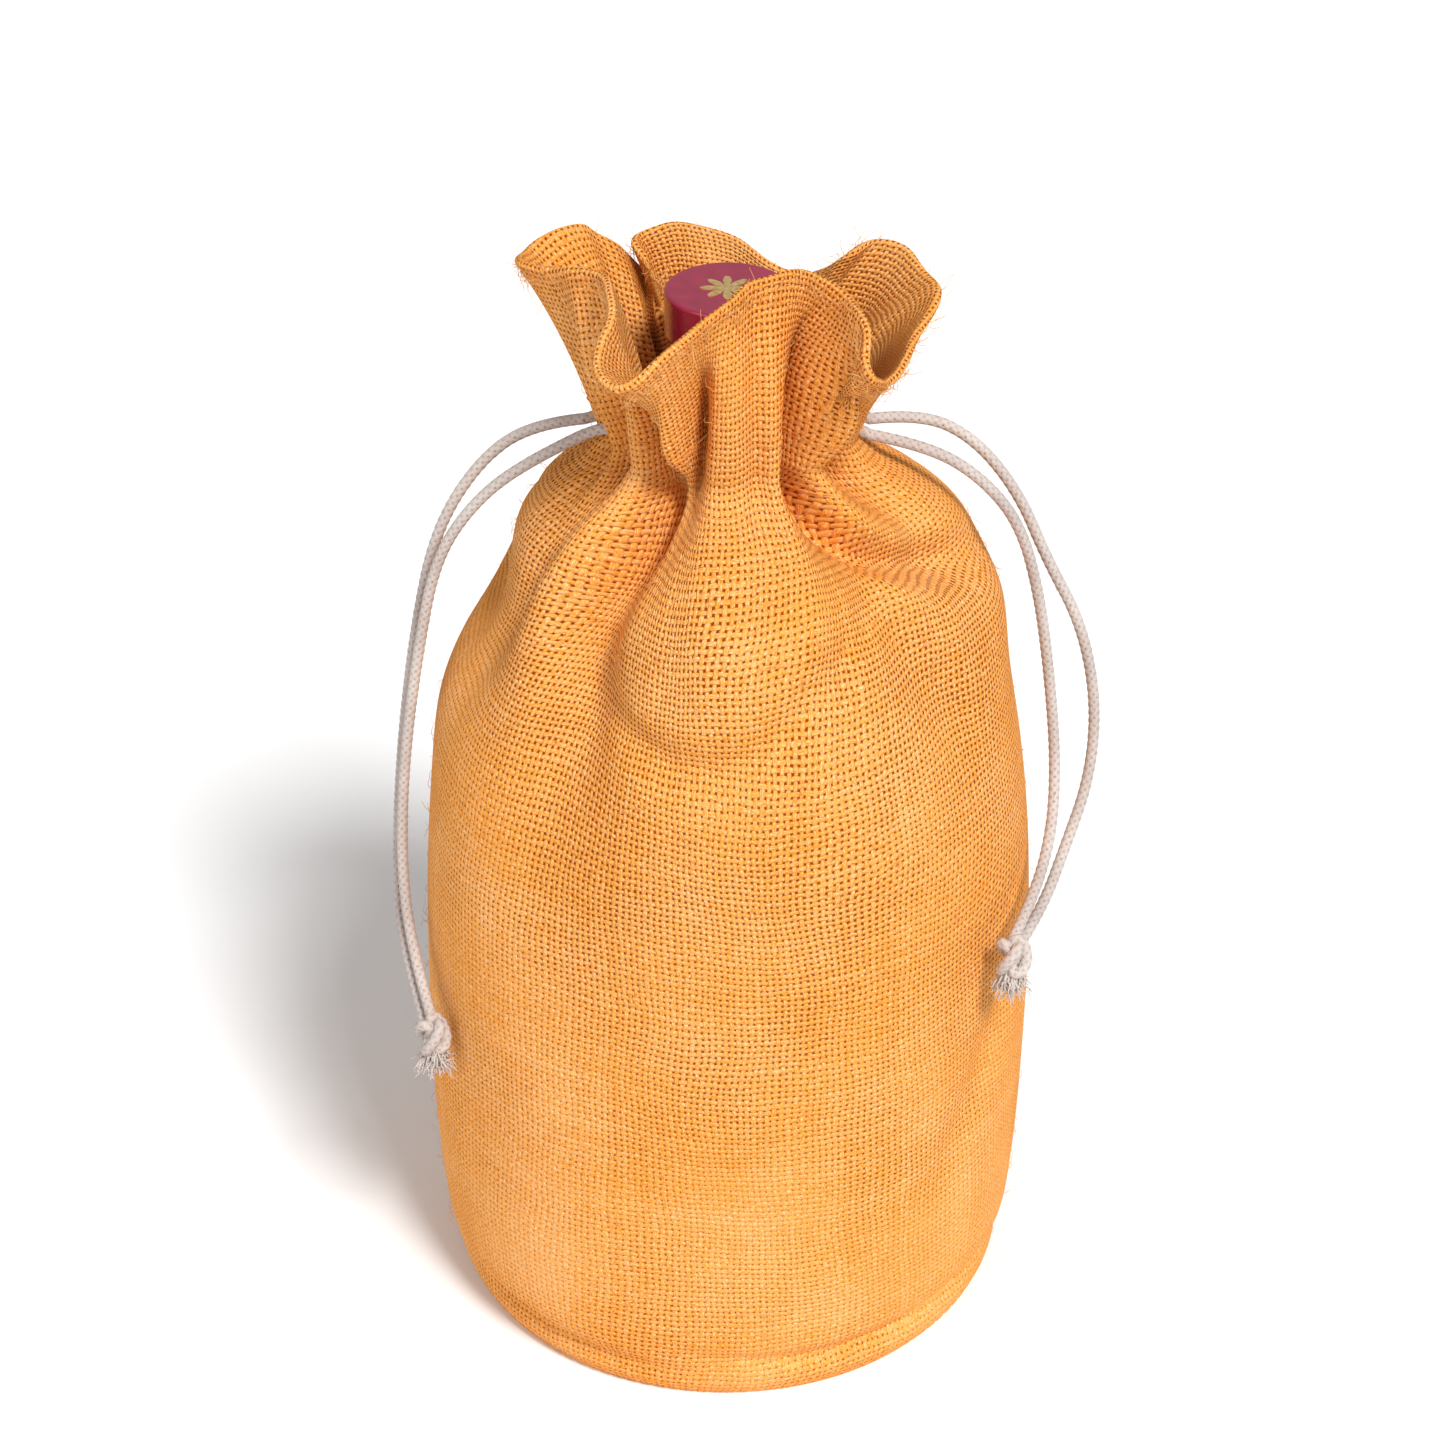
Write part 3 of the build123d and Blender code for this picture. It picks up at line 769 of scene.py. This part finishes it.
def base_disc():
    """Round base of the bag, a little uneven, with the seam allowance standing inside it."""
    turn = np.linspace(0.0, 2 * math.pi, 193)
    radii = np.linspace(0.0004, BASE_RADIUS, 60)
    flat = np.stack(around_axis(radii[:, None], turn), axis=2)
    unevenness = wander(turn[None, :] / (2 * math.pi), radii[:, None], 9, 8, 0.6)
    lift = 0.0004 + 0.0005 * (1 + unevenness) * fall(radii / BASE_RADIUS)[:, None]
    disc = Heap()
    disc.grid(np.concatenate([flat, lift[..., None]], axis=2), flat)
    piece = disc.piece("base_cloth", JUTE)
    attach(piece, "bag")
    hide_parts("base_disc")

    edge = Heap()
    arc = GIRTH * turn / (2 * math.pi)
    for inset, thick in ((0.0012, 0.0), (0.0028, 0.0010)):
        stand = np.linspace(0.0010, 0.0088, 8)
        ripple = 0.0006 * np.sin(23 * turn)[None, :] * (stand / 0.009)[:, None]
        radius = BASE_RADIUS - inset - thick + ripple
        ring = np.stack([*around_axis(radius, turn), np.broadcast_to(stand[:, None], radius.shape)], axis=2)
        edge.grid(ring, np.stack(np.broadcast_arrays(arc[None, :], stand[:, None]), axis=2))
    piece = edge.piece("base_seam_edge", JUTE)
    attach(piece, "bag")
    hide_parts("base_seam_allowance")


def side_seams(surface, up, columns):
    """Seam allowances inside the bag, below the hem."""
    normals = eased(outward(surface), 4)
    last = int(np.searchsorted(up, up.max() - HEM - 0.004))
    for side, centre in (("right", columns // 4), ("left", 3 * columns // 4)):
        edge = Heap()
        for layer, depth in enumerate((0.0016, 0.0027)):
            picked = centre + np.arange(0, 9)
            lean = depth + 0.0004 * np.sin(np.arange(last) * 0.21 + layer)[:, None]
            strip = surface[:last, picked] - normals[:last, picked] * lean[..., None]
            flat = np.broadcast_arrays(picked[None, :] * GIRTH / columns, up[:last, None])
            edge.grid(strip, np.stack(flat, axis=2))
        piece = edge.piece(side + "_seam_edge", JUTE)
        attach(piece, "bag")
        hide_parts(side + "_seam_allowance")


def threads(surface, up, columns):
    """Sewing thread of the casing, the side seams and the base seam, laid on the cloth."""
    normals = outward(surface)
    neck_up = up.max() - HEADER
    for name, height in (("lower", neck_up - 0.0078), ("upper", neck_up + 0.0080)):
        row = int(np.searchsorted(up, height))
        sewn = Heap()
        stitched(sewn, surface[row] + normals[row] * 0.0001)
        finish_thread(sewn, name + "_casing_thread")
    top = int(np.searchsorted(up, neck_up - 0.012))
    for side, centre in (("right", columns // 4), ("left", 3 * columns // 4)):
        sewn = Heap()
        stitched(sewn, surface[4:top, centre] - normals[4:top, centre] * 0.0002)
        finish_thread(sewn, side + "_seam_thread")
    row = 3                             # 3.6 mm up the side
    sewn = Heap()
    stitched(sewn, surface[row] + normals[row] * 0.0001)
    finish_thread(sewn, "base_seam_thread")


def finish_thread(heap, node):
    """Makes one seam's stitches into a piece that replaces the plain thread solid."""
    piece = heap.piece(node + "_stitches", THREAD)
    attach(piece, "bag")
    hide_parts(node)


LOOP_RADIUS = 0.0196        # of the hidden loops of cord
LOOP_OFFSET = 0.0017        # the left loop runs above the middle of the casing, the right one below it


def casing_cords():
    """The two hidden loops of cord that gather the casing, their ends coming out at the sides."""
    for side, centre, sign in (("left", 270, -1), ("right", 90, 1)):
        height = NECK_Z - sign * LOOP_OFFSET
        bearing = np.radians(centre + np.linspace(-sign * 16, -sign * 344, 60))
        loop = np.stack([*around_axis(LOOP_RADIUS, bearing), np.full(60, height)], axis=1)
        front = [
            (sign * EXIT_X, -0.004, NECK_Z), (sign * 0.0320, -0.0043, NECK_Z + 0.0018),
            (sign * 0.026, -0.0052, height + 0.0006)]
        back = [
            (sign * 0.026, 0.0055, height + 0.0006), (sign * 0.0320, 0.0052, NECK_Z + 0.0012),
            (sign * EXIT_X, 0.005, NECK_Z)]
        line, _ = curve_through(front + loop.tolist() + back, 420)
        cord = Heap()
        cord.tube(line, CORD / 2, 16, braided=True)
        piece = cord.piece(side + "_casing_cord", COTTON)
        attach(piece, "bag")
        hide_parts(side + "_cord_loop")


FIBRE_COUNT = 2400          # loose fibres on the cloth


def stray_fibres(surface, up, columns):
    """Short loose fibres all over the cloth, thickest along the rim and around the neck."""
    normals = outward(surface)
    outer = int(np.searchsorted(up, up.max())) - 1
    down = Heap()
    for _ in range(FIBRE_COUNT):
        zone = RNG.random()
        if zone < 0.30:
            row = outer - int(RNG.integers(0, 3))
        elif zone < 0.65:
            row = int(outer * RNG.uniform(0.70, 1.0))
        else:
            row = int(outer * RNG.uniform(0.02, 0.75))
        column = int(RNG.integers(0, columns))
        root, normal = surface[row, column], normals[row, column]
        drift = RNG.normal(size=3)
        drift -= normal * np.dot(drift, normal)
        drift /= np.linalg.norm(drift)
        length = RNG.uniform(0.0015, 0.0048) * (1.3 if row > outer - 3 else 1.0)
        stand = RNG.uniform(0.10, 0.42)
        curl, wave = RNG.normal(size=(2, 3)) * 0.5
        share = np.linspace(0.0, 1.0, 7)[:, None]
        bow = normal * stand * np.sin(2.4 * share)
        line = root + length * (drift * share + bow + curl * share ** 2 * 0.5)
        line = line + length * 0.10 * wave * np.sin(7.0 * share)
        line[:, 2] = np.maximum(line[:, 2], 0.0002)
        down.tube(line, np.linspace(0.00010, 0.00005, 7), 3)
    piece = down.piece("stray_fibres", FIBRE)
    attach(piece, "bag")


def build_bag():
    """The cloth of both panels, and every sewn or hidden piece that follows it."""
    coarse, step = 240, 0.0024          # columns and row spacing; below, both are made twice as fine
    surface, up = bag_surface(coarse, step)
    surface = clear_of_bottle(surface)
    surface = between(surface, closed=False)
    surface = between(surface.transpose(1, 0, 2), closed=True).transpose(1, 0, 2)
    up = between(up, closed=False)
    columns = 2 * coarse
    base_disc()
    side_seams(surface, up, columns)
    threads(surface, up, columns)
    stray_fibres(surface, up, columns)
    casing_cords()
    surface, up = with_hem(surface, up, step / 2)
    quarter = columns // 4
    ring = np.arange(-quarter, quarter + 1)
    for name, start in (("front", 0), ("back", 2 * quarter)):
        picked = (ring + start) % columns
        panel = Heap()
        flat = np.broadcast_arrays((ring + start) * GIRTH / columns, up[:, None])
        panel.grid(surface[:, picked], np.stack(flat, axis=2))
        cloth = panel.piece(name + "_cloth", JUTE)
        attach(cloth, "bag")
        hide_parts(name + "_panel", name + "_hem_facing")


# ---------------------------------------------------------------- drawstring tails
KNOTS = {"left": (-0.0788, -0.0410, 0.0990), "right": (0.0745, -0.0490, 0.1310)}
KNOT_HEIGHT = 0.0084
KNOT_CORD_RADIUS = 0.00155


def overhand_knot(centre, turn):
    """Both cords tied together in one overhand knot, pulled tight."""
    t = np.linspace(0.0, 2 * math.pi, 260)
    reach = 0.0023 + 0.0014 * np.cos(3 * t)
    angle = 2 * t + turn
    line = np.stack([reach * np.cos(angle), reach * np.sin(angle), 0.0040 * np.sin(3 * t)], axis=1)
    heap = Heap()
    heap.tube(np.array(centre) + line, KNOT_CORD_RADIUS, 18, braided=True)
    return heap


FRAY_COUNT = 130            # loose yarns below each knot
CORD_HAIRS = 60             # loose fibres on each strand


def frayed_end(centre):
    """Loose yarns below the knot, unlaid and curling."""
    heap = Heap()
    foot = np.array(centre) - (0.0, 0.0, KNOT_HEIGHT / 2 - 0.0006)
    for _ in range(FRAY_COUNT):
        angle = RNG.uniform(0, 2 * math.pi)
        start = 0.0016 * math.sqrt(RNG.random())
        spread = RNG.uniform(0.2, 1.0)
        out = np.array([math.cos(angle), math.sin(angle), 0.0])
        length = RNG.uniform(0.0055, 0.0100)
        share = np.linspace(0.0, 1.0, 9)
        wave = RNG.normal(size=(2, 3)) * 0.00045
        line = foot + out * (start + 0.0050 * spread * share ** 1.2)[:, None]
        line[:, 2] -= length * share * (1.0 - 0.18 * spread * share)
        line += wave[0] * np.sin(5.0 * share)[:, None] + wave[1] * np.sin(11.0 * share + 1.0)[:, None]
        heap.tube(line, np.linspace(0.00034, 0.00012, 9), 5)
    return heap


def build_tails():
    """Four strands, and the knot and fray at the end of each pair."""
    for side, sign in (("left", -1), ("right", 1)):
        place = KNOTS[side]
        out = np.array([place[0], place[1], 0.0]) / math.hypot(place[0], place[1])
        centre = np.array(place) + 0.0009 * out
        body = side + "_tails"
        knot = overhand_knot(centre, 0.6 if side == "left" else 2.1).piece(side + "_tied_knot", COTTON)
        fray = frayed_end(centre).piece(side + "_fray", COTTON)
        for piece, node in ((knot, side + "_knot"), (fray, side + "_frayed_ends")):
            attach(piece, body)
            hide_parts(node)
        for face in ("front", "back"):
            node = f"{side}_{face}_strand"
            line, places = even(route_line(node, ROUTES[node]), 0.0003)
            inside = line[0] + (line[0] - line[1]) / np.linalg.norm(line[0] - line[1]) * 0.0006
            into_knot = np.array(centre) * 0.6 + line[-1] * 0.4
            line = np.concatenate([[inside], line, [into_knot]])
            cord = Heap()
            cord.tube(line, CORD / 2, 20, braided=True)
            for _ in range(CORD_HAIRS):
                spot = int(RNG.integers(20, len(line) - 20))
                away = RNG.normal(size=3)
                away /= np.linalg.norm(away)
                share = np.linspace(0.0, 1.0, 5)[:, None]
                hair = line[spot] + away * CORD / 2 * (0.9 + 0.9 * share)
                hair = hair + RNG.normal(size=3) * 0.0003 * share ** 2
                cord.tube(hair, np.linspace(0.00007, 0.00003, 5), 3)
            piece = cord.piece(node + "_cord", COTTON)
            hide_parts(node)
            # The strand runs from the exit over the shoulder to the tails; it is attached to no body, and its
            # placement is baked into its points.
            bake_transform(piece)


def paint_bottle():
    """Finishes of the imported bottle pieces."""
    for node, material in PAINTS.items():
        for slot in bpy.data.objects[node].material_slots:
            slot.material = material


# Lamps: name, direction they shine from, spread in degrees and strength.
SUNS = (("key", (0.50, -0.80, 1.15), 16, 3.45), ("fill", (-0.9, -0.9, 0.8), 50, 0.70))
FLOOR = 3                   # half the width of the floor


def add_studio():
    """Even pale surroundings, a soft key and fill, and a plain floor."""
    world = bpy.data.worlds.new("studio")
    world.use_nodes = True
    world.node_tree.nodes["Background"].inputs[0].default_value = (1.0, 1.0, 1.0, 1.0)
    world.node_tree.nodes["Background"].inputs[1].default_value = 0.36
    bpy.context.scene.world = world
    for name, place, spread, strength in SUNS:
        data = bpy.data.lights.new(name, "SUN")
        data.angle = math.radians(spread)
        data.energy = strength
        lamp = bpy.data.objects.new(name, data)
        lamp.location = place
        lamp.rotation_euler = (-Vector(place)).to_track_quat("-Z", "Y").to_euler()
        bpy.context.scene.collection.objects.link(lamp)
    mesh = bpy.data.meshes.new("floor")
    corners = [(-FLOOR, -FLOOR, 0), (FLOOR, -FLOOR, 0), (FLOOR, FLOOR, 0), (-FLOOR, FLOOR, 0)]
    mesh.from_pydata(corners, [], [(0, 1, 2, 3)])
    floor = bpy.data.objects.new("floor", mesh)
    bpy.context.scene.collection.objects.link(floor)
    f = Finish("floor")
    grain = f.noise(f.add("ShaderNodeTexCoord").outputs["Object"], 5.0)
    pale = f.ramp(grain, [(0.3, (0.90, 0.90, 0.90)), (0.7, (0.93, 0.93, 0.93))])
    mesh.materials.append(f.set(Base_Color=pale, Roughness=0.9))


build_bag()
build_tails()
paint_bottle()
add_studio()
bpy.context.scene.view_settings.view_transform = "Standard"
